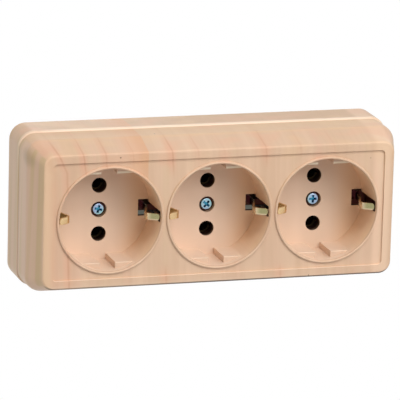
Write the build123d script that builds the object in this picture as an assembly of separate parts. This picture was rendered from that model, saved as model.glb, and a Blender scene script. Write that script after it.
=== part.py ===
from build123d import *
from math import cos, radians, sin
import os

# Triple earthed socket outlet for mounting on a wall, with wells side by side.
# It is drawn lying on its back: X along its length, Y up the wall and Z out from the wall.
# stand_up turns each piece to its own frame: X to the right, Z up, the front towards -Y and
# the origin in the middle of the back face, on the wall.
# All sizes are in millimetres.

# Wells
well_count = 3
well_depth = 17.5
mouth_radius = 20.0
well_taper = 0.2
ring_width = 1.05
ring_rise = 0.75
ring_crest_steps = 4
well_gap = 0.9
floor_thickness = 2.0

# Pins and screws seen in the well floor
pin_spacing = 19.0
pin_hole_radius = 2.95
counterbore_radius = 3.1
counterbore_depth = 3.2
screw_hole_radius = 1.7
boss_radius = 4.2
boss_length = 2.6

# Flats at the top and bottom of each well, with a groove between each pair
flat_height = 2.5
flat_setback = 3.8
groove_width = 6.2

# Windows that let the earth clips into the well
window_floor_width = 6.5
window_floor_reach = 4.3
window_floor_rise = 1.2
window_wall_width = 4.3
window_setback = 1.8
window_cut = 0.6

# Front of the cover
panel_margin_side = 1.7
panel_margin_end = 1.55
panel_corner = 1.75
panel_recess = 0.7
panel_thickness = 1.8
border_side = 3.3
border_end = 3.6
front_corner = 4.6
front_edge_radius = 1.05

# Sides of the cover, from its front back to its rim
bevel_side = 3.4
bevel_end = 3.75
shoulder_corner = 6.0
shoulder_edge_radius = 8.0
shoulder_rise = 11.1
side_draft = 0.25
rim_corner = 6.3
rim_edge_radius = 1.0
cover_wall = 2.0

# Base
base_height = 14.9
base_step_side = 0.6
base_step_end = 0.15
base_corner = 6.2
base_wall = 2.4
back_wall = 2.2
lug_length = 9.0
lug_thickness = 1.2
lug_rise = 2.2
end_lug_spacing = 32.0

# Holes for the wall screws
fixing_rows = 38.0
slot_length = 8.0
slot_width = 4.4
slot_collar = 2.0
slot_collar_rise = 1.0

# Knock-outs for the cable
side_knockout_radius = 5.5
side_knockout_skin = 0.9
rear_knockout_radius = 7.0
rear_knockout_skin = 0.8
rear_knockout_offset = 18.5

# Seats for the inner pieces
rib_rise = 1.8
rib_thickness = 1.6
rib_margin = 3.0
barrier_thickness = 1.2
barrier_gap = 0.65
barrier_height = 9.8

# Contact blocks
block_margin = 5.0
block_corner = 3.0
block_gap = 0.3
pocket_wall = 1.8
ear_radius = 4.0
ear_margin = 5.0
ear_rise = 3.0
ear_thickness = 4.0
post_radius = 3.6
post_hole_floor = 0.8

# Bars
busbar_width = 8.0
busbar_thickness = 1.2
busbar_end = 6.0
earth_bar_width = 6.0
earth_bar_thickness = 0.8
earth_bar_end = 11.0

# Pin sleeves
sleeve_radius = 3.2
sleeve_bore = 2.45
sleeve_length = 9.1
sleeve_recess = 4.0
sleeve_floor = 1.2
sleeve_slit = 0.8
sleeve_slit_depth = 6.5

# Rivets
rivet_radius = 1.2
rivet_head_radius = 2.0
rivet_head_height = 0.6

# Earth brackets and their clips, with distances in from the wall of the well
bracket_thickness = 0.8
upright_inset = 1.4
clip_width = 2.6
clip_lean_rise = 1.9
clip_crest_inset = 5.2
clip_crest_setback = 4.7
clip_end_inset = 0.2
clip_end_setback = 1.8
clip_bend_radius = 2.5

# Terminals
terminal_gap = 0.6
terminal_length = 6.5
terminal_height = 8.0
wire_hole_radius = 1.6
wire_hole_rise = 3.2

# Screws
shank_radius = 1.45
cover_head_radius = 2.15
cover_head_height = 1.8
cover_screw_reach = 1.0
insert_radius = 2.8
insert_height = 6.0
fixing_head_radius = 2.8
fixing_head_height = 1.8
cross_width = 0.8
cross_share = 0.72
cross_depth = 1.1

# Clearances
slide_gap = 0.15
seat_gap = 0.2
press_gap = 0.05

# Heights above the wall, from the back forward
bar_plane = back_wall + rib_rise
strap_plane = bar_plane + earth_bar_thickness
sleeve_foot = bar_plane + busbar_thickness
sleeve_top = sleeve_foot + sleeve_length
block_front = sleeve_top + sleeve_recess
floor_back = block_front + block_gap
floor_plane = floor_back + floor_thickness
total_depth = floor_plane + well_depth
panel_plane = total_depth - panel_recess
ring_crest = panel_plane + ring_rise
shoulder_plane = base_height + shoulder_rise
ear_plane = bar_plane + ear_rise
boss_back = floor_back - boss_length
insert_top = boss_back - seat_gap
insert_base = insert_top - insert_height

# Places along and across
ring_radius = mouth_radius + ring_width
floor_radius = mouth_radius - well_taper
well_pitch = 2 * ring_radius + well_gap
half_span = (well_count - 1) * well_pitch / 2
well_places = [index * well_pitch - half_span for index in range(well_count)]

panel_length = 2 * (half_span + ring_radius + panel_margin_end)
panel_width = 2 * (ring_radius + panel_margin_side)
front_size = (panel_length + 2 * border_end, panel_width + 2 * border_side)
shoulder_size = (front_size[0] + 2 * bevel_end, front_size[1] + 2 * bevel_side)
rim_size = (shoulder_size[0] + 2 * side_draft, shoulder_size[1] + 2 * side_draft)
base_size = (rim_size[0] + 2 * base_step_end, rim_size[1] + 2 * base_step_side)

upright_offset = floor_radius - upright_inset
bracket_end = upright_offset + bracket_thickness / 2
pocket_radius = sleeve_radius + slide_gap
block_width = pin_spacing + 2 * (pocket_radius + pocket_wall)
block_length = 2 * (upright_offset - bracket_thickness / 2 - block_margin)
ear_stand = post_radius + seat_gap
ear_place = (block_length / 2 - ear_margin, block_width / 2 + ear_stand)
rib_offset = block_length / 2 - rib_margin
terminal_width = pin_spacing / 2 - barrier_thickness - 2 * barrier_gap
terminal_place = -(half_span + bracket_end + terminal_gap + terminal_length / 2)
side_knockout_place = -(base_size[0] / 2 - base_corner - side_knockout_radius)
poles = {"live": pin_spacing / 2, "neutral": -pin_spacing / 2}


def stand_up(shape):
    """Turn a shape from lying on its back to standing on the wall."""
    return Rot(90, 0, 0) * shape


def plate(size, corner, low, high):
    """Give an upright slab with rounded corners between two heights."""
    return Pos(0, 0, low) * extrude(RectangleRounded(*size, corner), amount=high - low)


def tapered(low_size, low_corner, low, high_size, high_corner, high):
    """Give a body whose rounded rectangle changes evenly between two heights."""
    lower = Pos(0, 0, low) * RectangleRounded(*low_size, low_corner)
    upper = Pos(0, 0, high) * RectangleRounded(*high_size, high_corner)
    return loft([lower, upper], ruled=True)


def block(x_range, y_range, z_range):
    """Give a plain block from its ranges along the three axes."""
    spans = [high - low for low, high in (x_range, y_range, z_range)]
    middle = [(low + high) / 2 for low, high in (x_range, y_range, z_range)]
    return Pos(*middle) * Box(*spans)


def rod(radius, low, high, x=0.0, y=0.0):
    """Give a round rod that stands between two heights."""
    return Pos(x, y, (low + high) / 2) * Cylinder(radius, high - low)


def turned(points):
    """Give a body turned about Z from an outline of (radius, height) points."""
    return revolve(Plane.XZ * make_face(Polyline(*points, close=True)), axis=Axis.Z)


def shrunk(size, wall):
    """Give the size of an outline moved in by a wall on every side."""
    return (size[0] - 2 * wall, size[1] - 2 * wall)


def edges_at(shape, height):
    """Give the outer edges that lie flat at a height."""
    return shape.edges().filter_by(
        lambda edge: abs(edge.bounding_box().min.Z - height) < 1e-4
        and abs(edge.bounding_box().max.Z - height) < 1e-4
    )


def well_tub():
    """Give the round wall, rounded ring and floor of one well."""
    edge = ring_width / 2
    turns = [radians(180 * step / ring_crest_steps) for step in range(ring_crest_steps + 1)]
    crest = [
        (mouth_radius + edge - edge * cos(turn), ring_crest - edge + edge * sin(turn))
        for turn in turns
    ]
    return turned([
        (0, floor_back),
        (0, floor_plane),
        (floor_radius, floor_plane),
        *crest,
        (ring_radius, floor_back),
    ])


def well_flats():
    """Give the four flats of one well, two above and two below."""
    limit = rod((mouth_radius + ring_radius) / 2, floor_back, total_depth - flat_setback)
    flat_distance = floor_radius - flat_height
    flats = Part()
    for side in (-1, 1):
        for end in (-1, 1):
            x_range = sorted((side * groove_width / 2, side * mouth_radius))
            y_range = sorted((end * flat_distance, end * ring_radius))
            flats += block(x_range, y_range, (floor_back, total_depth)) & limit
    return flats


def well_windows():
    """Give the cuts for the two earth clips of one well."""
    top = total_depth - window_setback
    floor_cut = rod(floor_radius, floor_back - 1, floor_plane + window_floor_rise)
    inner = floor_radius - window_floor_reach
    cuts = Part()
    for side in (-1, 1):
        x_range = sorted((side * inner, side * (ring_radius + window_cut)))
        half_floor = window_floor_width / 2
        half_wall = window_wall_width / 2
        low = floor_back - 1
        cuts += block(x_range, (-half_floor, half_floor), (low, floor_plane)) & floor_cut
        cuts += block(x_range, (-half_wall, half_wall), (low, top))
    return cuts


def well_holes():
    """Give the pin holes and the stepped screw hole of one well."""
    holes = rod(screw_hole_radius, boss_back - 1, floor_plane)
    holes += rod(counterbore_radius, floor_plane - counterbore_depth, floor_plane + 1)
    for place in poles.values():
        holes += rod(pin_hole_radius, floor_back - 1, floor_plane + 1, y=place)
    return holes


def front_cover():
    """Give the one-piece cover: bevelled shell, raised border, panel and wells."""
    shell = tapered(
        rim_size, rim_corner, base_height, shoulder_size, shoulder_corner, shoulder_plane
    )
    shell += tapered(
        shoulder_size, shoulder_corner, shoulder_plane, front_size, front_corner, total_depth
    )
    shell = fillet(edges_at(shell, shoulder_plane), shoulder_edge_radius)
    shell = fillet(edges_at(shell, total_depth), front_edge_radius)
    shell = fillet(edges_at(shell, base_height), rim_edge_radius)

    # The hollow follows the outside, one wall in from it.
    ceiling = panel_plane - panel_thickness
    climb = (ceiling - shoulder_plane) / (total_depth - shoulder_plane)
    ceiling_size = (
        shoulder_size[0] - 2 * bevel_end * climb,
        shoulder_size[1] - 2 * bevel_side * climb,
    )
    ceiling_corner = shoulder_corner + (front_corner - shoulder_corner) * climb
    inner_rim = shrunk(rim_size, cover_wall)
    inner_shoulder = shrunk(shoulder_size, cover_wall)
    hollow = tapered(
        inner_rim,
        rim_corner - cover_wall,
        base_height,
        inner_shoulder,
        shoulder_corner - cover_wall,
        shoulder_plane,
    )
    hollow += tapered(
        inner_shoulder,
        shoulder_corner - cover_wall,
        shoulder_plane,
        shrunk(ceiling_size, cover_wall),
        ceiling_corner - cover_wall,
        ceiling,
    )
    shell -= hollow
    shell -= plate((panel_length, panel_width), panel_corner, panel_plane, total_depth + 1)

    for x in well_places:
        shell -= rod((mouth_radius + ring_radius) / 2, base_height, total_depth + 1, x=x)
    for x in well_places:
        shell += Pos(x, 0, 0) * well_tub()
        shell += Pos(x, 0, 0) * well_flats()
        shell += rod(boss_radius, boss_back, floor_back + floor_thickness / 2, x=x)
    for x in well_places:
        shell -= Pos(x, 0, 0) * well_windows()
        shell -= Pos(x, 0, 0) * well_holes()
    return shell


def locating_lugs():
    """Give the lugs of the base that reach inside the rim of the cover."""
    inner = shrunk(rim_size, cover_wall + slide_gap)
    base_inner = shrunk(base_size, base_wall / 2)
    half_lug = lug_length / 2
    top = base_height + lug_rise
    lugs = Part()
    side_places = [(low + high) / 2 for low, high in zip(well_places, well_places[1:])]
    for side in (-1, 1):
        outer_y = side * inner[1] / 2
        inner_y = outer_y - side * lug_thickness
        for x in side_places:
            x_range = (x - half_lug, x + half_lug)
            root = sorted((inner_y, side * base_inner[1] / 2))
            lugs += block(x_range, root, (back_wall / 2, base_height))
            lugs += block(x_range, sorted((inner_y, outer_y)), (base_height / 2, top))
        outer_x = side * inner[0] / 2
        inner_x = outer_x - side * lug_thickness
        for y in (-end_lug_spacing / 2, end_lug_spacing / 2):
            y_range = (y - half_lug, y + half_lug)
            root = sorted((inner_x, side * base_inner[0] / 2))
            lugs += block(root, y_range, (back_wall / 2, base_height))
            lugs += block(sorted((inner_x, outer_x)), y_range, (base_height / 2, top))
    return lugs


def fixing_places():
    """Give the middles of the four slots for the wall screws."""
    rows = (-fixing_rows / 2, fixing_rows / 2)
    return [(x, y) for x in (-well_pitch / 2, well_pitch / 2) for y in rows]


def ear_places():
    """Give the two ears of a block, on opposite corners."""
    x, y = ear_place
    return [(-x, y), (x, -y)]


def mounting_base():
    """Give the tray on the wall with its seats, posts, slots and knock-outs."""
    inner = shrunk(base_size, base_wall)
    tray = plate(base_size, base_corner, 0, base_height)
    tray -= plate(inner, base_corner - base_wall, back_wall, base_height + 1)
    tray += locating_lugs()

    for x in well_places:
        half_rib = rib_thickness / 2
        half_block = block_width / 2
        for offset in (-rib_offset, rib_offset):
            x_range = (x + offset - half_rib, x + offset + half_rib)
            tray += block(x_range, (-half_block, half_block), (back_wall / 2, bar_plane))
        for ear_x, ear_y in ear_places():
            post = rod(post_radius, back_wall / 2, ear_plane, x + ear_x, ear_y)
            hole = rod(shank_radius + press_gap, post_hole_floor, ear_plane, x + ear_x, ear_y)
            tray = tray + post - hole

    half_terminal = terminal_length / 2
    terminal_range = (terminal_place - half_terminal, terminal_place + half_terminal)
    half_pad = pin_spacing / 2 + terminal_width / 2
    tray += block(terminal_range, (-half_pad, half_pad), (back_wall / 2, bar_plane))
    for side in (-1, 1):
        middle = side * pin_spacing / 4
        y_range = (middle - barrier_thickness / 2, middle + barrier_thickness / 2)
        tray += block(terminal_range, y_range, (back_wall / 2, back_wall + barrier_height))

    for x, y in fixing_places():
        collar = SlotOverall(slot_length + 2 * slot_collar, slot_width + 2 * slot_collar)
        tray += Pos(x, y, 0) * extrude(collar, amount=back_wall + slot_collar_rise)
        slot = extrude(SlotOverall(slot_length, slot_width), amount=base_height)
        tray -= Pos(x, y, 0) * slot

    skin_face = -base_size[1] / 2 + side_knockout_skin
    pocket = Cylinder(side_knockout_radius, 2 * (base_wall - side_knockout_skin))
    pocket_face = skin_face + base_wall - side_knockout_skin
    tray -= Pos(side_knockout_place, pocket_face, base_height / 2) * Rot(90, 0, 0) * pocket
    rear_place = half_span + rear_knockout_offset
    tray -= rod(rear_knockout_radius, rear_knockout_skin, back_wall, x=rear_place)
    return tray


def contact_block():
    """Give the insulating carrier of one well."""
    body = plate((block_length, block_width), block_corner, bar_plane, block_front)
    ear_top = ear_plane + ear_thickness
    for x, y in ear_places():
        neck_range = (x - ear_radius, x + ear_radius)
        body += rod(ear_radius, ear_plane, ear_top, x, y)
        body += block(neck_range, sorted((y, y / 2)), (ear_plane, ear_top))
        body -= rod(shank_radius + seat_gap, ear_plane, ear_top, x, y)

    # Grooves for the bars across the back
    half_length = block_length / 2
    x_range = (-half_length, half_length)
    earth_groove = earth_bar_width / 2 + seat_gap
    earth_roof = strap_plane + bracket_thickness + rivet_head_height + slide_gap
    body -= block(x_range, (-earth_groove, earth_groove), (0, earth_roof))
    groove = busbar_width / 2 + seat_gap
    roof = sleeve_foot + slide_gap
    for place in poles.values():
        body -= block(x_range, (place - groove, place + groove), (0, roof))
        body -= rod(pocket_radius, bar_plane, block_front, y=place)

    # Seat for the boss of the cover, and the hole for the insert and the screw
    body -= rod(boss_radius + seat_gap, insert_top, block_front)
    body -= rod(insert_radius + press_gap, insert_base, insert_top)
    body -= rod(screw_hole_radius, bar_plane, insert_base)
    return body


def pin_sleeve():
    """Give one slit sleeve with its riveted foot, standing at the middle of its bar."""
    sleeve = turned([
        (0, bar_plane - rivet_head_height),
        (rivet_head_radius, bar_plane - rivet_head_height),
        (rivet_head_radius, bar_plane),
        (rivet_radius, bar_plane),
        (rivet_radius, sleeve_foot),
        (sleeve_radius, sleeve_foot),
        (sleeve_radius, sleeve_top),
        (sleeve_bore, sleeve_top),
        (sleeve_bore, sleeve_foot + sleeve_floor),
        (0, sleeve_foot + sleeve_floor),
    ])
    slit = block(
        (-sleeve_radius, sleeve_radius),
        (-sleeve_slit / 2, sleeve_slit / 2),
        (sleeve_top - sleeve_slit_depth, sleeve_top),
    )
    return sleeve - slit


def busbar(place):
    """Give the bar of one pole, pierced for the feet of its sleeves."""
    x_range = (terminal_place - terminal_length / 2, half_span + busbar_end)
    y_range = (place - busbar_width / 2, place + busbar_width / 2)
    bar = block(x_range, y_range, (bar_plane, sleeve_foot))
    for x in well_places:
        bar -= rod(rivet_radius + press_gap, bar_plane, sleeve_foot, x, place)
    return bar


def earth_bar():
    """Give the bar that joins the earth brackets."""
    x_range = (terminal_place - terminal_length / 2, half_span + earth_bar_end)
    half_width = earth_bar_width / 2
    bar = block(x_range, (-half_width, half_width), (bar_plane, strap_plane))
    for x in well_places:
        bar -= rod(rivet_radius + press_gap, bar_plane, strap_plane, x)
    return bar


def earth_rivets():
    """Give the rivets that hold the brackets on the earth bar, one for each."""
    top = strap_plane + bracket_thickness
    outline = [
        (0, bar_plane - rivet_head_height),
        (rivet_head_radius, bar_plane - rivet_head_height),
        (rivet_head_radius, bar_plane),
        (rivet_radius, bar_plane),
        (rivet_radius, top),
        (rivet_head_radius, top),
        (rivet_head_radius, top + rivet_head_height),
        (0, top + rivet_head_height),
    ]
    return Compound([Pos(x, 0, 0) * turned(outline) for x in well_places])


def earth_bracket():
    """Give one bent strip, whose two ends are the clips of a well."""
    strap_middle = strap_plane + bracket_thickness / 2
    right = [
        (upright_offset, strap_middle),
        (upright_offset, floor_plane + clip_lean_rise),
        (floor_radius - clip_crest_inset, total_depth - clip_crest_setback),
        (floor_radius - clip_end_inset, total_depth - clip_end_setback),
    ]
    left = [(-x, z) for x, z in reversed(right)]
    path = FilletPolyline(*left, *right, radius=clip_bend_radius)
    ribbon = Plane.XZ * trace(path, line_width=bracket_thickness)
    bracket = extrude(ribbon, amount=clip_width / 2, both=True)
    strap_end = upright_offset - clip_bend_radius - bracket_thickness
    half_width = earth_bar_width / 2
    strap_range = (strap_plane, strap_plane + bracket_thickness)
    bracket += block((-strap_end, strap_end), (-half_width, half_width), strap_range)
    return bracket - rod(rivet_radius + press_gap, *strap_range)


def screw(head_radius, head_height, seat, tip, slots):
    """Give a screw with a flat head, whose recess has one or two slots."""
    top = seat + head_height
    body = turned([
        (0, tip),
        (shank_radius, tip),
        (shank_radius, seat),
        (head_radius, seat),
        (head_radius, top),
        (0, top),
    ])
    reach = head_radius * cross_share
    for turn in range(slots):
        slot = Box(2 * reach, cross_width, 2 * cross_depth)
        body -= Pos(0, 0, top) * Rot(0, 0, 90 * turn) * slot
    return body


def cover_screw():
    """Give the screw in the middle of a well."""
    seat = floor_plane - counterbore_depth
    return screw(
        cover_head_radius, cover_head_height, seat, insert_base - cover_screw_reach, slots=2
    )


def insert_nut():
    """Give the brass insert that takes the cover screw."""
    return rod(insert_radius, insert_base, insert_top) - rod(
        shank_radius + press_gap, insert_base, insert_top
    )


def block_screws():
    """Give the two screws that hold one block on the posts."""
    seat = ear_plane + ear_thickness
    one = screw(
        fixing_head_radius, fixing_head_height, seat, post_hole_floor + seat_gap, slots=2
    )
    return Compound([Pos(x, y, 0) * one for x, y in ear_places()])


def terminal(seat):
    """Give one terminal that stands on its bar, with its wire hole along X."""
    top = seat + terminal_height
    half_length = terminal_length / 2
    half_width = terminal_width / 2
    body = block((-half_length, half_length), (-half_width, half_width), (seat, top))
    wire = Pos(0, 0, seat + wire_hole_rise) * Rot(0, 90, 0)
    body -= wire * Cylinder(wire_hole_radius, terminal_length)
    body -= rod(shank_radius + press_gap, seat + wire_hole_rise, top)
    return body


def terminal_screw(seat):
    """Give the screw of one terminal, down to its wire hole."""
    top = seat + terminal_height
    tip = seat + wire_hole_rise + wire_hole_radius
    return screw(fixing_head_radius, fixing_head_height, top, tip, slots=1)


def build():
    """Give every piece by its name, lying on its back."""
    pieces = {"mounting_base": mounting_base(), "front_cover": front_cover()}
    for number, x in enumerate(well_places, start=1):
        place = Pos(x, 0, 0)
        pieces[f"contact_block_{number}"] = place * contact_block()
        pieces[f"block_screws_{number}"] = place * block_screws()
        pieces[f"insert_nut_{number}"] = place * insert_nut()
        pieces[f"cover_screw_{number}"] = place * cover_screw()
        pieces[f"earth_bracket_{number}"] = place * earth_bracket()
        for pole, y in poles.items():
            pieces[f"{pole}_sleeve_{number}"] = Pos(x, y, 0) * pin_sleeve()
    pieces["earth_bar"] = earth_bar()
    pieces["earth_rivets"] = earth_rivets()
    for pole, y in poles.items():
        place = Pos(terminal_place, y, 0)
        pieces[f"{pole}_busbar"] = busbar(y)
        pieces[f"{pole}_terminal"] = place * terminal(sleeve_foot)
        pieces[f"{pole}_terminal_screw"] = place * terminal_screw(sleeve_foot)
    place = Pos(terminal_place, 0, 0)
    pieces["earth_terminal"] = place * terminal(strap_plane)
    pieces["earth_terminal_screw"] = place * terminal_screw(strap_plane)
    return pieces


os.makedirs("parts", exist_ok=True)
for name, piece in build().items():
    export_step(stand_up(piece), f"parts/{name}.step")
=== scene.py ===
import math

import bpy
from mathutils import Matrix, Vector


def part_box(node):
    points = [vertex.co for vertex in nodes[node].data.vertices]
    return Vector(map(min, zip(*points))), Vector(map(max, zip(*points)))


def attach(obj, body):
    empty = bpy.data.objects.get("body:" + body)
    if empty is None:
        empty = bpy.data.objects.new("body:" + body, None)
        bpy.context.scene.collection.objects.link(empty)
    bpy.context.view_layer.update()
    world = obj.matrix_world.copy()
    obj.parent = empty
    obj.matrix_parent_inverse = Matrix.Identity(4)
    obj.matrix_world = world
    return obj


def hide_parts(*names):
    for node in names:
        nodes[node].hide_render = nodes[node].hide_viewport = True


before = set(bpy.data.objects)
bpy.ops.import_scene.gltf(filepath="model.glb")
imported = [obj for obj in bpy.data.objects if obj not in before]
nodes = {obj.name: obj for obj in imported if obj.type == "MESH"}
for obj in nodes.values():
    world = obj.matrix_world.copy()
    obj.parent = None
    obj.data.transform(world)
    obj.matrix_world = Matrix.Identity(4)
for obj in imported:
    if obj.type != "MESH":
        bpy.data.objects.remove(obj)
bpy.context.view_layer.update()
bpy.ops.object.select_all(action="DESELECT")

MM = 0.001

# Camera of the photograph: a long lens from the front left and a little above
camera_place = Vector((-451.24, -1492.44, 390.53)) * MM
camera_right = Vector((0.95815, -0.28507, 0.02596))
camera_up = Vector((0.04575, 0.24203, 0.96919))
camera_lens = 372.4

# Light: level of the surround, and each lamp's place, size and power
ambient_level = 0.25
lamps = {
    "upper_lamp": {"place": (0.085, -0.97, 1.39), "size": 0.6, "power": 11.4},
    "right_lamp": {"place": (0.74, -1.275, 0.85), "size": 0.6, "power": 6.6},
    "side_lamp": {"place": (1.2, -0.85, 0.85), "size": 0.6, "power": 4.2},
    "left_lamp": {"place": (-1.6, -0.12, 0.5), "size": 0.6, "power": 7.6},
    "front_lamp": {"place": (0.13, -1.47, 0.85), "size": 0.6, "power": 3.8},
    "back_lamp": {"place": (0.15, 1.65, -0.08), "size": 0.6, "power": 7.0},
}

# The pale floor of the stage, in metres
stage_size = 8.0
stage_height = -0.16

# Places on the object, in millimetres from the middle of its back
well_pitch = 43.0
row_half = well_pitch * 1.5
ring_inner_radius = 20.0
pin_offset = 9.5
pin_hole_radius = 3.0
screw_seat_radius = 3.15
recess_radius = 1.9
window_half = 3.25
wall_window_half = 2.15
panel_front = -37.4
flat_front = -34.35
flat_height = 17.3
floor_front = -20.6
hollow_front = -17.9
hollow_back = -1.9
hollow_half = (69.5, 26.5)
seam = -14.9
base_half = (73.33, 30.28)
base_corner = 6.2
rim_half = (73.18, 29.68)
rim_corner = 6.3

# Small forms that are added to the solids, in millimetres
shoulder_round = 0.95
rim_round = 1.0
rim_fill = 0.96
clip_corner_round = 1.05
clip_edge_round = 0.2
free_end_reach = 0.7
thickest_strip = 0.9
head_rise = 0.9
head_growth = 0.15
head_height = 1.8
head_edge_round = 0.45
shank_radius = 1.45
cross_cutter = (4.5, 2.4, 1.05)
cross_tip = (0.34, 1.0, 0.7)

# How far each cover screw is turned, in degrees
screw_turns = {1: 14, 2: 40, 3: 2}

# The bends that are shaded round, each up to so many degrees
moulding_crease = 50
clip_crease = 35
screw_crease = 32

# Grain lines of the front: place, half width, strength, the heights that each fades between,
# and how far it leans left for each millimetre above the panel
grain_lines = [
    (-65.0, 3.0, 0.16, -60.0, -40.0, 0.3),
    (-59.6, 0.7, 0.42, -60.0, -40.0, 0.45),
    (-52.3, 0.55, 0.42, 14.0, 22.0, 0.15),
    (-44.0, 0.6, 0.45, 12.0, 21.0, 0.1),
    (-33.5, 0.5, 0.25, 18.0, 26.0, 0.1),
    (-18.2, 0.6, 0.38, 14.0, 22.0, 0.1),
    (-21.5, 0.8, 0.3, -17.0, -24.0, 0.0),
    (-8.0, 0.7, 0.22, 17.0, 25.0, 0.1),
    (3.0, 0.6, 0.12, 18.0, 26.0, 0.2),
    (19.1, 0.6, 0.3, 16.0, 24.0, 0.1),
    (24.0, 0.8, 0.28, -19.0, -25.0, 0.0),
    (33.0, 0.7, 0.12, 19.0, 26.0, 0.1),
    (47.0, 0.6, 0.12, 18.0, 27.0, 0.2),
]
orange_edge = -28.3
orange_width = 13.0

# Dark pores of the front and the top: the three places of each in millimetres, and its radius
pores = [
    (-39.7, -38.1, 24.3, 0.22),
    (60.0, -37.4, 19.7, 0.1),
    (-22.5, -23.8, 29.5, 0.2),
    (36.2, -38.1, -25.4, 0.16),
]

# Colours of the pine look, on the 0 to 255 display scale
pine_tints = {
    "dark wood": (211, 176, 146),
    "light wood": (228, 195, 167),
    "pink wood": (224, 180, 157),
    "tan wood": (216, 187, 152),
    "pink end": (214, 178, 158),
    "olive end": (198, 172, 122),
    # The brown back and base are painted shade; the pale right end and the yellow left border are
    # painted light
    "brown back": (204, 168, 130),
    "brown base": (190, 154, 112),
    "pale right end": (240, 206, 176),
    "brown right rim": (184, 146, 112),
    "yellow left border": (230, 200, 160),
    "warm top": (240, 200, 152),
    "yellow blotch": (230, 194, 152),
    "pink blotch": (228, 178, 148),
    # Painted shade at one upper left corner
    "painted corner shade": (162, 138, 96),
    "line halo": (226, 166, 136),
    "line": (186, 122, 92),
    "orange band": (222, 166, 126),
    "plain dark": (229, 203, 180),
    "plain light": (235, 208, 186),
    # Painted warm bounce light on the wells' right walls
    "painted warm bounce": (243, 198, 148),
    # Painted shade inside the holes and the clip windows
    "dark opening": (50, 38, 27),
    "flat face": (212, 178, 150),
    "flat edge": (250, 228, 204),
    "flat notch": (255, 240, 214),
    "lower border": (242, 218, 190),
    "border step": (252, 236, 216),
    "lower edge": (86, 76, 72),
    "shoulder": (250, 228, 206),
    "end seam": (160, 132, 94),
    "pore": (96, 70, 58),
    "hollow": (60, 28, 21),
}
no_glow = (0.0, 0.0, 0.0, 1.0)


class Field:
    """A value that varies over a surface, for sums written as plain arithmetic."""

    def __init__(self, paint, socket):
        self.paint = paint
        self.socket = socket

    def _maths(self, operation, *values):
        return self.paint.node("Math", {"operation": operation}, dict(enumerate(values)))

    def __add__(self, other):
        return self._maths("ADD", self, other)

    def __radd__(self, other):
        return self._maths("ADD", other, self)

    def __sub__(self, other):
        return self._maths("SUBTRACT", self, other)

    def __rsub__(self, other):
        return self._maths("SUBTRACT", other, self)

    def __mul__(self, other):
        return self._maths("MULTIPLY", self, other)

    def __rmul__(self, other):
        return self._maths("MULTIPLY", other, self)

    def __mod__(self, other):
        return self._maths("FLOORED_MODULO", self, other)

    def __abs__(self):
        return self._maths("ABSOLUTE", self)

    def root(self):
        return self._maths("SQRT", self)

    def larger(self, other):
        return self._maths("MAXIMUM", self, other)

    def step(self, low, high):
        """Climb smoothly from 0 at low to 1 at high, or fall where low is the larger."""
        ends = {"Value": self, "From Min": low, "From Max": high}
        return self.paint.node("MapRange", {"interpolation_type": "SMOOTHSTEP"}, ends)


class Paint:
    """One material: its shader, and the nodes that feed it."""

    def __init__(self, name, **uniform):
        self.material = bpy.data.materials.new(name)
        self.material.use_nodes = True
        self.tree = self.material.node_tree
        self.shader = self.tree.nodes["Principled BSDF"]
        for socket, value in uniform.items():
            self.shader.inputs[socket.replace("_", " ")].default_value = value
        self.point = self.node("TexCoord", output="Object")

    def node(self, kind, settings=None, inputs=None, output=0):
        """Add a node, and give its output as a field."""
        made = self.tree.nodes.new("ShaderNode" + kind)
        for key, value in (settings or {}).items():
            setattr(made, key, value)
        self.fill(made, inputs or {})
        return Field(self, made.outputs[output])

    def fill(self, made, inputs):
        """Set or link the sockets of a node."""
        for key, value in inputs.items():
            if isinstance(value, Field):
                self.tree.links.new(value.socket, made.inputs[key])
            else:
                made.inputs[key].default_value = value

    def parts(self, vector):
        """Split a vector into its three numbers."""
        made = self.tree.nodes.new("ShaderNodeSeparateXYZ")
        self.fill(made, {0: vector})
        return [Field(self, socket) for socket in made.outputs]

    def place(self):
        """Give the three places of a point in millimetres."""
        return [part * 1000.0 for part in self.parts(self.point)]

    def vector(self, x, y, z):
        """Join three numbers into a vector."""
        return self.node("CombineXYZ", None, {0: x, 1: y, 2: z})

    def noise(self, point, scale=1.0, detail=2.0):
        """Give smooth noise about 0, from -1 to 1."""
        raw = self.node("TexNoise", None, {"Vector": point, "Scale": scale, "Detail": detail})
        return (raw - 0.5) * 2.0

    def mix(self, factor, low, high):
        """Mix two colours. Sockets 6 and 7 are the node's colour inputs."""
        made = {"Factor": factor, 6: low, 7: high}
        return self.node("Mix", {"data_type": "RGBA"}, made, output=2)

    def bump(self, height, distance, strength):
        """Raise the surface by a height field."""
        self.feed(Normal=self.node("Bump", None, {
            "Strength": strength, "Distance": distance, "Height": height,
        }))

    def feed(self, **links):
        """Link fields to the sockets of the shader."""
        for socket, value in links.items():
            self.fill(self.shader, {socket.replace("_", " "): value})


def colour(red, green, blue):
    """Turn a colour on the 0 to 255 display scale into a linear one."""
    def linear(level):
        level /= 255
        return level / 12.92 if level <= 0.04045 else ((level + 0.055) / 1.055) ** 2.4
    return (linear(red), linear(green), linear(blue), 1.0)


def off_well(x):
    """Give how far a place along the row lies from the middle of the nearest well."""
    return (x + row_half) % well_pitch - well_pitch / 2


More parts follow.
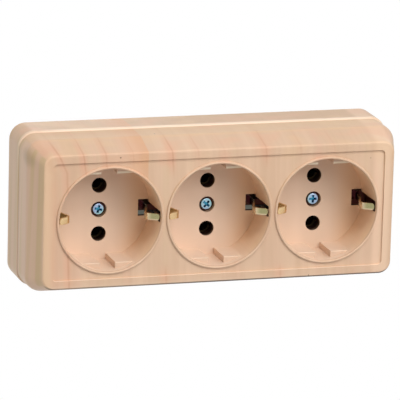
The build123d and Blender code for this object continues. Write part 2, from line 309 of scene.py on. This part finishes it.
class PinePoint:
    """One point of the mouldings: where it lies, and how the grain runs there."""

    def __init__(self, paint):
        x, y, z = paint.place()
        self.x, self.y, self.z = x, y, z
        self.normal = paint.parts(paint.node("TexCoord", output="Normal"))
        self.off_well = off_well(x)
        self.radius = (self.off_well * self.off_well + z * z).root()
        self.in_row = abs(x).step(row_half, row_half - 0.5)

        # 1 on the two end faces and 0 on the others, and the other way round
        self.end = abs(self.normal[0]).step(0.6, 0.8)
        self.side = 1.0 - self.end

        # The place across the grain, and noise drawn out along it, from wide bands to fibres
        drift = paint.noise(paint.vector(x * 0.012, y * 0.02, z * 0.02), detail=1.0)
        along = x + z * 0.026 + drift * 0.8
        across = y * 1.7 + z * 0.03 + drift * 1.5
        self.grain = along * self.side + across * self.end
        self.wide = paint.noise(paint.vector(self.grain * 0.13, 3.7, z * 0.008), detail=1.0)
        self.streak = paint.noise(paint.vector(self.grain * 0.55, y * 0.02, z * 0.016))
        self.fibre = paint.noise(paint.vector(self.grain * 3.2, y * 0.1, z * 0.09), detail=3.0)


def overlay(paint, base, layers):
    """Lay tints of the pine look over a colour, one after another."""
    for factor, name in layers:
        base = paint.mix(factor, base, colour(*pine_tints[name]))
    return base


def soft_bands(paint, point):
    """Give bands of light and dark, pink and tan, and of olive and pink on the end faces."""
    tone = (point.wide * 0.6 + point.streak * 0.35 + point.fibre * 0.06).step(-0.75, 0.75)
    dark, light = (colour(*pine_tints[name]) for name in ("dark wood", "light wood"))
    pink = paint.noise(paint.vector(point.grain * 0.17, 9.1, point.z * 0.012))
    across = point.y * 0.24 + point.z * 0.012
    band = paint.noise(paint.vector(across, 5.3, point.z * 0.012), detail=1.0)
    olive = band.step(-0.15, 0.2) * 0.45 + point.streak.step(-0.3, 0.6) * 0.2 + 0.05
    return overlay(paint, paint.mix(tone, dark, light), [
        (pink.step(0.0, 0.7) * 0.7, "pink wood"),
        (pink.step(-0.1, -0.7) * 0.6, "tan wood"),
        (point.end * 0.25, "pink end"),
        (point.end * olive, "olive end"),
    ])


def regional_tones(paint, point, wood):
    """Shift the wood's colour from one region to the next, as the photograph shows it."""
    x, y, z, side = point.x, point.y, point.z, point.side
    right_end = x.step(60.5, 63.0) * x.step(70.0, 66.5) * side
    left_border = x.step(-63.0, -67.5) * side * y.step(-34.0, -37.0)
    top = y.step(-28.5, -26.0) * y.step(seam, seam - 1.0) * z.step(22.0, 27.0) * side
    blotch = paint.noise(paint.vector(x * 0.07, y * 0.09 + 4.1, z * 0.09), detail=1.0)
    blotched = side * z.step(16.0, 22.0)

    # Painted shade about one point of the upper left corner
    shade_x = x + 71.5
    shade_y = (y + 26.0) * 0.6
    shade_z = z - 23.0
    corner_shade = (shade_x * shade_x + shade_y * shade_y + shade_z * shade_z).root().step(5.0, 1.0)
    # Painted shade browns the back and the base, and painted light pales the right end and
    # yellows the left border
    return overlay(paint, wood, [
        (y.step(-27.0, -23.0) * side * 0.3, "brown back"),
        (y.step(seam + 1.5, seam + 2.5) * 0.25, "brown base"),
        (right_end * 0.55, "pale right end"),
        (x.step(67.0, 70.0) * 0.35, "brown right rim"),
        (left_border * 0.45, "yellow left border"),
        (top * 0.25, "warm top"),
        (blotch.step(0.05, 0.4) * blotched * 0.28, "yellow blotch"),
        (blotch.step(-0.05, -0.4) * blotched * 0.35, "pink blotch"),
        (corner_shade * 0.5, "painted corner shade"),
    ])


def grain_marks(paint, point, wood):
    """Draw the grain lines, broken by a slow patchiness, and one broad orange band."""
    lines = 0.0
    halos = 0.0
    above = (point.z - 19.0).larger(0.0)
    for place, width, strength, low, high, lean in grain_lines:
        off = point.grain + above * lean - place
        reach = point.z.step(low, high) * strength
        lines = (abs(off).step(width, 0.0) * reach).larger(lines)
        halos = (abs(off + 0.6).step(width * 4.5, 0.2) * reach).larger(halos)
    patch = paint.noise(paint.vector(point.x * 0.06, point.y * 0.05, point.z * 0.09))
    patch = patch.step(-0.8, 0.2) * 0.6 + 0.4
    patch = patch * point.side * (point.y.step(-23.0, -34.0) * 0.75 + 0.25)

    # The orange band fades in from the left and ends sharply on the right
    orange = point.grain.step(orange_edge - orange_width, orange_edge)
    orange = orange * point.grain.step(orange_edge + 0.5, orange_edge)
    orange = orange * point.z.step(6.0, 23.0) * point.side
    return overlay(paint, wood, [
        (halos * patch, "line halo"),
        (lines * patch * 0.75, "line"),
        (orange * 0.6, "orange band"),
    ])


def well_finish(paint, point, wood):
    """Keep the wells plain and even, with painted warm bounce light on their right walls."""
    y = point.y
    inside = point.radius.step(ring_inner_radius + 0.5, ring_inner_radius) * point.in_row
    inside = inside * y.step(panel_front - 0.2, panel_front + 0.8)
    inside = inside * y.step(floor_front + 0.5, floor_front + 0.1)
    dark, light = (colour(*pine_tints[name]) for name in ("plain dark", "plain light"))
    plain = paint.mix(point.wide.step(-0.6, 0.6), dark, light)
    # Painted warm bounce light on the right wall of each well
    plain = overlay(paint, plain, [(point.off_well.step(6.0, 16.0) * 0.5, "painted warm bounce")])
    return paint.mix(inside * 0.85, wood, plain)


def dark_openings(paint, point, wood):
    """Darken the inside of the screw holes, the pin holes and the clip windows with painted
    shade.
    """
    y, radius, height = point.y, point.radius, abs(point.z)
    before_hollow = y.step(hollow_front, hollow_front - 0.3) * point.in_row
    pin_off = height - pin_offset
    pin_radius = (point.off_well * point.off_well + pin_off * pin_off).root()
    seat = radius.step(screw_seat_radius + 0.15, screw_seat_radius) * 0.15
    hole = seat.larger(pin_radius.step(pin_hole_radius + 0.15, pin_hole_radius))
    hole = hole * y.step(floor_front + 0.1, floor_front + 0.5)
    window = height.step(window_half + 0.03, window_half) * radius.step(13.0, 14.0)
    window = window * y.step(floor_front + 0.02, floor_front + 0.2)
    slot = height.step(wall_window_half + 0.03, wall_window_half) * y.step(-35.7, -35.5)
    slot = slot * radius.step(18.7, 18.9)
    dark = hole.larger(window.larger(slot)) * before_hollow
    return overlay(paint, wood, [(dark * 0.85, "dark opening")])


def painted_light(paint, point, wood):
    """Paint the thin highlights and shades that the lamps alone don't give.

    They stand in for light: they stay on the object when the view or the lamps change.
    """
    x, y, z, height = point.x, point.y, point.z, abs(point.z)

    # Each flat of a well: its face, its edge, and the notch of an upper one
    flat = y.step(flat_front + 0.2, flat_front + 0.1) * y.step(flat_front - 0.2, flat_front - 0.1)
    flat = flat * point.in_row
    face = flat * height.step(flat_height, flat_height + 0.3) * height.step(20.0, 19.7)
    edge = flat * height.step(flat_height - 0.3, flat_height)
    edge = edge * height.step(flat_height + 0.4, flat_height + 0.25)
    notch = flat * z.step(flat_height - 0.3, flat_height)
    notch = notch * z.step(flat_height + 0.85, flat_height + 0.65)

    # The lower border, its step to the panel, and its edge where it turns under
    border = z.step(-24.0, -26.0) * y.step(panel_front, panel_front - 0.3) * x.step(60.0, 10.0)
    step_face = z.step(-20.0, -24.0) * y.step(panel_front + 0.1, panel_front - 0.05)
    step_face = step_face * y.step(panel_front - 0.75, panel_front - 0.65)
    step_face = step_face * point.normal[2].step(0.2, 0.6)
    under = point.normal[2].step(-0.15, -0.5) * y.step(-36.8, -37.1) * z.step(-24.0, -25.5)
    under = under * (x.step(-70.0, 10.0) * 0.35 + 0.55)

    # The shoulder of the base along its top, and the seam beside the end faces
    shoulder = y.step(seam - 0.1, seam) * y.step(seam + 1.9, seam + 0.9)
    shoulder = shoulder * (z.step(10.0, 26.0) * (abs(x).step(56.0, 70.0) * -0.35 + 0.75))
    end_seam = y.step(seam - 1.6, seam - 0.5) * y.step(seam + 0.4, seam + 0.1)
    end_seam = end_seam * z.step(28.0, 22.0) * abs(x).step(72.0, 72.6)
    return overlay(paint, wood, [
        (face * 0.45, "flat face"),
        (edge * 0.55, "flat edge"),
        (notch * 0.9, "flat notch"),
        (border * 0.3, "lower border"),
        (step_face * 0.9, "border step"),
        (under, "lower edge"),
        (shoulder, "shoulder"),
        (end_seam * 0.55, "end seam"),
    ])


def pore_marks(point):
    """Give 1 in the dark pores and 0 elsewhere."""
    marks = 0.0
    for across, front, up, size in pores:
        off_x, off_y, off_z = point.x - across, point.y - front, point.z - up
        off = (off_x * off_x + off_z * off_z + off_y * off_y).root()
        marks = off.step(size + 0.15, size).larger(marks)
    return marks


def hollow_mask(point):
    """Give 1 in the hollow between the wells' floors and the back of the base."""
    y = point.y
    wide, high = hollow_half
    hollow = y.step(hollow_front - 0.5, hollow_front) * y.step(hollow_back, hollow_back - 0.4)
    return hollow * abs(point.x).step(wide + 1.0, wide) * abs(point.z).step(high + 1.0, high)


def pine_paint():
    """The pine look of the moulded cover and base: upright grain in peach and tan.

    The hollow is bare brown plastic. Its faint glow stands in for light through the plastic.
    """
    paint = Paint("pine_look", Specular_IOR_Level=0.2, Emission_Strength=1.0)
    point = PinePoint(paint)
    wood = soft_bands(paint, point)
    wood = regional_tones(paint, point, wood)
    wood = grain_marks(paint, point, wood)
    wood = well_finish(paint, point, wood)
    wood = dark_openings(paint, point, wood)
    wood = painted_light(paint, point, wood)
    hollow = hollow_mask(point)
    wood = overlay(paint, wood, [(pore_marks(point) * 0.75, "pore"), (hollow, "hollow")])
    fine = paint.noise(paint.point, 1100.0)
    paint.feed(
        Base_Color=wood,
        Roughness=0.36 + fine * 0.04 + point.fibre * 0.03,
        Emission_Color=paint.mix(hollow, no_glow, colour(42, 18, 15)),
    )
    paint.bump(fine * 0.6 + point.fibre * 0.4, 0.00002, 0.35)
    return paint.material


def carrier_paint():
    """Dark brown insulating plastic of the contact carriers."""
    paint = Paint("carrier_plastic")
    mottle = paint.noise(paint.point, 220.0, detail=3.0)
    shade = paint.mix(mottle * 0.5 + 0.5, colour(44, 20, 15), colour(62, 30, 24))
    paint.feed(Base_Color=shade, Roughness=mottle * 0.08 + 0.45)
    paint.bump(mottle, 0.00003, 0.5)
    return paint.material


def drawing_lines(paint):
    """Give the faint lines that rolling and drawing leave in brass."""
    x, y, z = paint.place()
    return paint.noise(paint.vector(x * 0.12, y * 0.12, z * 5.0), detail=3.0)


def brass_paint(name, bright, dull, roughness):
    """Stamped and turned brass, with faint drawing lines and a little tarnish."""
    paint = Paint(name, Metallic=1.0)
    drawn = drawing_lines(paint)
    tarnish = paint.noise(paint.point, 130.0, detail=3.0)
    metal = paint.mix(tarnish.step(-0.5, 0.9), bright, dull)
    paint.feed(Base_Color=metal, Roughness=tarnish * 0.07 + drawn * 0.05 + roughness)
    paint.bump(drawn, 0.00002, 0.35)
    return paint.material


def clip_paint():
    """Brass of the earth clips.

    The paler right clips, their greener free ends and the dark inner part are painted
    reflection, and the faint glows are painted light. They stand in for what the brass
    mirrors there.
    """
    paint = Paint("clip_brass", Metallic=1.0, Emission_Strength=1.0)
    x, y, z = paint.place()
    off = off_well(x)
    tarnish = paint.noise(paint.point, 260.0, detail=3.0)
    drawn = drawing_lines(paint)
    right = off.step(-1.0, 1.0)
    left = off.step(-1.0, -2.0)
    free_end = y.step(-34.2, -35.3) * z.step(-1.0, -0.6) * right
    metal = paint.mix(tarnish.step(-0.5, 0.9), colour(210, 184, 142), colour(184, 152, 112))
    # Painted reflection: the right clips paler, their free ends greener, their inner part dark
    metal = paint.mix(right * 0.5, metal, colour(198, 186, 160))
    metal = paint.mix(free_end * 0.85, metal, colour(146, 143, 99))
    metal = paint.mix(y.step(-21.5, -19.5) * right, metal, colour(34, 28, 16))
    # Painted light: a faint glow in the hollow and on the left clips
    in_hollow = y.step(hollow_front - 0.5, hollow_front)
    glow = paint.mix(in_hollow, no_glow, colour(40, 14, 16))
    glow = paint.mix(left * y.step(-18.0, -20.0), glow, colour(92, 68, 36))
    paint.feed(
        Base_Color=metal,
        Roughness=tarnish * 0.08 + drawn * 0.04 + 0.27,
        Emission_Color=glow,
    )
    paint.bump(tarnish, 0.00003, 0.5)
    return paint.material


def zinc_paint():
    """Zinc plate with the cloudy colour of its passivation."""
    paint = Paint("zinc_plate", Metallic=1.0)
    cloud = paint.noise(paint.point, 420.0, detail=3.0)
    plate = paint.mix(cloud.step(-0.6, 0.6), colour(150, 160, 168), colour(186, 194, 200))
    paint.feed(Base_Color=plate, Roughness=cloud * 0.08 + 0.3)
    paint.bump(cloud, 0.00002, 0.5)
    return paint.material


def busbar_paint():
    """Dull zinc of the busbars.

    Their faint glow under the windows stands in for the light that falls through them.
    """
    paint = Paint("busbar_zinc", Metallic=0.6, Emission_Strength=1.0)
    x = paint.place()[0]
    under = abs(off_well(x)).step(19.0, 19.6)
    cloud = paint.noise(paint.point, 300.0, detail=3.0)
    paint.feed(
        Base_Color=paint.mix(cloud.step(-0.6, 0.6), colour(120, 130, 132), colour(150, 158, 160)),
        Roughness=cloud * 0.08 + 0.45,
        Emission_Color=paint.mix(under, no_glow, colour(86, 88, 81)),
    )
    paint.bump(cloud, 0.00002, 0.5)
    return paint.material


def screw_paint(front):
    """Blue zinc plate of the cover screws, with painted shade of darker blue inside the recess.
    """
    paint = Paint("screw_plate", Metallic=1.0)
    x, y, z = paint.place()
    cloud = paint.noise(paint.point, 650.0, detail=3.0)
    shift = paint.noise(paint.point, 210.0, detail=1.0)
    off = off_well(x)
    radius = (off * off + z * z).root()
    # Painted shade inside the cross recess
    recess_shade = y.step(front / MM + 0.1, front / MM + 0.35)
    recess_shade = recess_shade * radius.step(recess_radius + 0.1, recess_radius)
    plate = paint.mix(shift.step(-0.4, 0.4), colour(150, 168, 198), colour(146, 188, 190))
    plate = paint.mix(cloud.step(-0.2, 0.8) * 0.7, plate, colour(200, 216, 224))
    plate = paint.mix(recess_shade * 0.9, plate, colour(40, 128, 156))
    paint.feed(Base_Color=plate, Roughness=cloud * 0.08 + 0.27)
    paint.bump(cloud, 0.00002, 0.5)
    return paint.material


def dress(piece, material, slot, *replaced):
    """Give a new piece its finish and its body, and hide the nodes that it stands for."""
    piece.data.materials.clear()
    piece.data.materials.append(material)
    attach(piece, "root")
    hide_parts(*replaced)


def shade_round(piece, crease):
    """Shade a piece round wherever its faces turn by less than the crease."""
    bpy.ops.object.select_all(action="DESELECT")
    bpy.context.view_layer.objects.active = piece
    piece.select_set(True)
    bpy.ops.object.shade_smooth_by_angle(angle=math.radians(crease))


def apply_modifier(piece, kind, **settings):
    """Add a modifier, set it and apply it."""
    bpy.context.view_layer.objects.active = piece
    modifier = piece.modifiers.new(kind.lower(), kind)
    for key, value in settings.items():
        setattr(modifier, key, value)
    bpy.ops.object.modifier_apply(modifier=modifier.name)


def joined_copy(node, name):
    """Copy a node with its loose triangles joined, so that it can be shaded round."""
    bpy.ops.object.select_all(action="DESELECT")
    piece = bpy.data.objects.new(name, nodes[node].data.copy())
    bpy.context.scene.collection.objects.link(piece)
    bpy.context.view_layer.objects.active = piece
    piece.select_set(True)
    bpy.ops.object.mode_set(mode="EDIT")
    bpy.ops.mesh.select_all(action="SELECT")
    bpy.ops.mesh.remove_doubles(threshold=0.002 * MM)
    bpy.ops.mesh.dissolve_limited(angle_limit=math.radians(0.2))
    bpy.ops.object.mode_set(mode="OBJECT")
    bpy.ops.mesh.customdata_custom_splitnormals_clear()
    return piece


def select_where(piece, kind, test):
    """Select, in edit mode, the faces or edges of a piece whose corners pass a test."""
    bpy.ops.object.mode_set(mode="EDIT")
    bpy.ops.mesh.select_all(action="DESELECT")
    bpy.ops.mesh.select_mode(type=kind)
    bpy.ops.object.mode_set(mode="OBJECT")
    mesh = piece.data
    for part in (mesh.polygons if kind == "FACE" else mesh.edges):
        points = [mesh.vertices[index].co for index in part.vertices]
        part.select = test(points)
    bpy.ops.object.mode_set(mode="EDIT")


def from_outline(point, half, corner):
    """Give how far a point lies inside a rounded outline, and the way out of it."""
    off = [abs(point.x) / MM - half[0] + corner, abs(point.z) / MM - half[1] + corner]
    if min(off) > 0:
        reach = math.hypot(*off)
        out = (off[0] / reach, off[1] / reach)
    else:
        reach = max(off)
        out = (1.0, 0.0) if off[0] > off[1] else (0.0, 1.0)
    way = Vector((math.copysign(out[0], point.x), 0.0, math.copysign(out[1], point.z)))
    return corner - reach, way


def cover_moulding():
    """Give the moulded cover, with the round of its rim closed up against the base."""
    piece = joined_copy("front_cover", "cover_moulding")
    for vertex in piece.data.vertices:
        inset, way = from_outline(vertex.co, rim_half, rim_corner)
        on_rim = vertex.co.y / MM > seam - rim_round - 0.01
        if on_rim and 0.0 < inset < rim_round + 0.02:
            vertex.co += way * inset * rim_fill * MM
    return piece


def base_moulding():
    """Give the moulded base, with a round shoulder where it stands proud of the cover."""
    piece = joined_copy("mounting_base", "base_moulding")

    def on_shoulder(points):
        return all(
            abs(point.y / MM - seam) < 0.01
            and abs(from_outline(point, base_half, base_corner)[0]) < 0.06
            for point in points
        )
    select_where(piece, "EDGE", on_shoulder)
    bpy.ops.mesh.bevel(offset=shoulder_round * MM, segments=5, affect="EDGES")
    bpy.ops.object.mode_set(mode="OBJECT")
    return piece


def smooth_skin(piece):
    """Shade a moulded piece round at its bends, with its flat faces kept flat."""
    shade_round(piece, moulding_crease)
    apply_modifier(piece, "WEIGHTED_NORMAL", keep_sharp=True)
    return piece


def is_free_corner(points, front):
    """Tell whether an edge runs through the thickness of a strip at its free end."""
    first, second = points
    level = abs(first.z - second.z) < 1e-6
    short = (first - second).length < thickest_strip * MM
    return level and short and max(first.y, second.y) < front


def earth_clips(number):
    """Give the bent strip of one well, with its sheared edges broken."""
    piece = joined_copy(f"earth_bracket_{number}", f"earth_clips_{number}")
    low = Vector(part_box(f"earth_bracket_{number}")[0])
    front = low.y + free_end_reach * MM
    select_where(piece, "EDGE", lambda points: is_free_corner(points, front))
    bpy.ops.mesh.bevel(offset=clip_corner_round * MM, segments=5, affect="EDGES")
    bpy.ops.object.mode_set(mode="OBJECT")
    apply_modifier(
        piece, "BEVEL", width=clip_edge_round * MM, segments=3, limit_method="ANGLE",
        angle_limit=math.radians(50), harden_normals=False,
    )
    shade_round(piece, clip_crease)
    return piece


def screw_blank(low, high, head_back):
    """Turn the blank of a screw: a round head with a broken edge, and its shank."""
    front = low.y
    middle = (low + high) / 2
    head_radius = (high.z - low.z) / 2 + head_growth * MM
    bpy.ops.mesh.primitive_cylinder_add(
        vertices=64, radius=head_radius, depth=head_back - front,
        location=(middle.x, (front + head_back) / 2, middle.z), rotation=(math.pi / 2, 0, 0),
    )
    piece = bpy.context.object
    bpy.ops.object.transform_apply(location=True, rotation=True, scale=True)
    select_where(piece, "EDGE", lambda points: all(abs(p.y - front) < 1e-6 for p in points))
    bpy.ops.mesh.bevel(offset=head_edge_round * MM, segments=5, affect="EDGES", profile=0.5)
    bpy.ops.object.mode_set(mode="OBJECT")
    select_where(piece, "FACE", lambda points: all(abs(p.y - head_back) < 1e-6 for p in points))
    bpy.ops.mesh.inset(thickness=head_radius - shank_radius * MM)
    bpy.ops.mesh.extrude_region_move(TRANSFORM_OT_translate={"value": (0, high.y - head_back, 0)})
    bpy.ops.object.mode_set(mode="OBJECT")
    return piece


def cut_cross(piece, middle, front, turn):
    """Cut the tapered cross recess into the head of a screw."""
    inner_end = (cross_cutter[1] / 2 - 0.1) * MM
    for arm in (0, 90):
        bpy.ops.object.select_all(action="DESELECT")
        bpy.ops.mesh.primitive_cube_add(size=1.0, location=(0, 0, 0))
        cutter = bpy.context.object
        cutter.scale = [size * MM for size in cross_cutter]
        bpy.ops.object.transform_apply(scale=True)
        select_where(cutter, "FACE", lambda points: all(p.y > inner_end for p in points))
        bpy.ops.transform.resize(value=cross_tip)
        bpy.ops.object.mode_set(mode="OBJECT")
        cutter.rotation_euler = (0, math.radians(turn + arm), 0)
        cutter.location = (middle.x, front, middle.z)
        bpy.ops.object.transform_apply(location=True, rotation=True)
        apply_modifier(piece, "BOOLEAN", operation="DIFFERENCE", object=cutter, solver="EXACT")
        bpy.data.objects.remove(cutter)


def cover_screw(number, turn):
    """Give the raised-head cross-recess screw of one well."""
    low, high = (Vector(corner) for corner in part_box(f"cover_screw_{number}"))
    head_back = low.y + head_height * MM
    low.y -= head_rise * MM
    piece = screw_blank(low, high, head_back)
    piece.name = f"cross_screw_{number}"
    cut_cross(piece, (low + high) / 2, low.y, turn)
    shade_round(piece, screw_crease)
    return piece


def white_stage():
    """A wide pale floor well below the object, white to the rays that see the background."""
    bpy.ops.object.select_all(action="DESELECT")
    bpy.ops.mesh.primitive_plane_add(size=stage_size, location=(0, 0, stage_height))
    floor = bpy.context.object
    floor.name = "floor"
    paint = Paint("pale_floor", Base_Color=(0.5, 0.5, 0.5, 1.0), Roughness=0.9)
    glow = paint.node("Emission")
    seen = background_rays(paint)
    mixed = paint.node("MixShader", None, {0: seen})
    mixer = mixed.socket.node
    paint.tree.links.new(paint.shader.outputs[0], mixer.inputs[1])
    paint.tree.links.new(glow.socket, mixer.inputs[2])
    paint.tree.links.new(mixer.outputs[0], paint.tree.nodes["Material Output"].inputs[0])
    floor.data.materials.append(paint.material)


def background_rays(paint):
    """Give 1 for the rays that see the background: of the camera, in metal and in glass."""
    camera = paint.node("LightPath", output="Is Camera Ray")
    glossy = paint.node("LightPath", output="Is Glossy Ray")
    through = paint.node("LightPath", output="Is Transmission Ray")
    return camera.larger(glossy).larger(through)


class Surround(Paint):
    """The nodes of the world."""

    def __init__(self, world):
        world.use_nodes = True
        self.tree = world.node_tree
        self.shader = self.tree.nodes["Background"]


def white_surround():
    """A soft even light all round, white where it is seen."""
    world = bpy.data.worlds.new("surround")
    bpy.context.scene.world = world
    surround = Surround(world)
    surround.shader.inputs["Color"].default_value = (1.0, 1.0, 1.0, 1.0)
    seen = background_rays(surround)
    surround.feed(Strength=seen * (1.0 - ambient_level) + ambient_level)


def hang_lamp(name, place, size, power):
    """Hang one soft square lamp that faces the object."""
    data = bpy.data.lights.new(name, "AREA")
    data.size = size
    data.energy = power
    lamp = bpy.data.objects.new(name, data)
    bpy.context.scene.collection.objects.link(lamp)
    lamp.location = place
    lamp.rotation_euler = (-Vector(place)).to_track_quat("-Z", "Y").to_euler()


def set_camera():
    """Place the camera where the photograph was taken from."""
    data = bpy.data.cameras.new("camera")
    data.lens = camera_lens
    data.sensor_width = 36.0
    data.clip_start = 0.05
    data.clip_end = 50.0
    camera = bpy.data.objects.new("camera", data)
    bpy.context.scene.collection.objects.link(camera)
    back = camera_right.cross(camera_up).normalized()
    turn = Matrix((camera_right, camera_up, back)).transposed().to_4x4()
    camera.matrix_world = Matrix.Translation(camera_place) @ turn
    bpy.context.scene.camera = camera


pine = pine_paint()
carrier = carrier_paint()
brass = brass_paint("brass", colour(206, 188, 142), colour(178, 152, 106), 0.3)
clip_brass = clip_paint()
# A darker copy of the brass, as painted shade on the pin sleeves and the earth bar far inside
shaded_brass = brass_paint("shaded_brass", colour(74, 60, 40), colour(40, 30, 20), 0.5)
zinc = zinc_paint()
busbar_zinc = busbar_paint()
screw_plate = screw_paint(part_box("cover_screw_2")[0][1] - head_rise * MM)

for name, node in nodes.items():
    material = brass
    if name in ("mounting_base", "front_cover"):
        material = pine
    elif name.startswith("contact_block"):
        material = carrier
    elif name.startswith("cover_screw"):
        material = screw_plate
    elif "busbar" in name:
        material = busbar_zinc
    elif "screw" in name:
        material = zinc
    # The pin sleeves and the earth bar take the darker brass: painted shade
    elif "sleeve" in name or name in ("earth_bar", "earth_rivets"):
        material = shaded_brass
    node.data.materials.clear()
    node.data.materials.append(material)

dress(smooth_skin(cover_moulding()), pine, "pine_moulding", "front_cover")
dress(smooth_skin(base_moulding()), pine, "pine_moulding", "mounting_base")
for number, turn in screw_turns.items():
    dress(cover_screw(number, turn), screw_plate, "zinc_steel", f"cover_screw_{number}")
    dress(earth_clips(number), clip_brass, "brass", f"earth_bracket_{number}")

white_stage()
white_surround()
for name, lamp in lamps.items():
    hang_lamp(name, **lamp)
set_camera()
bpy.context.scene.view_settings.view_transform = "Standard"
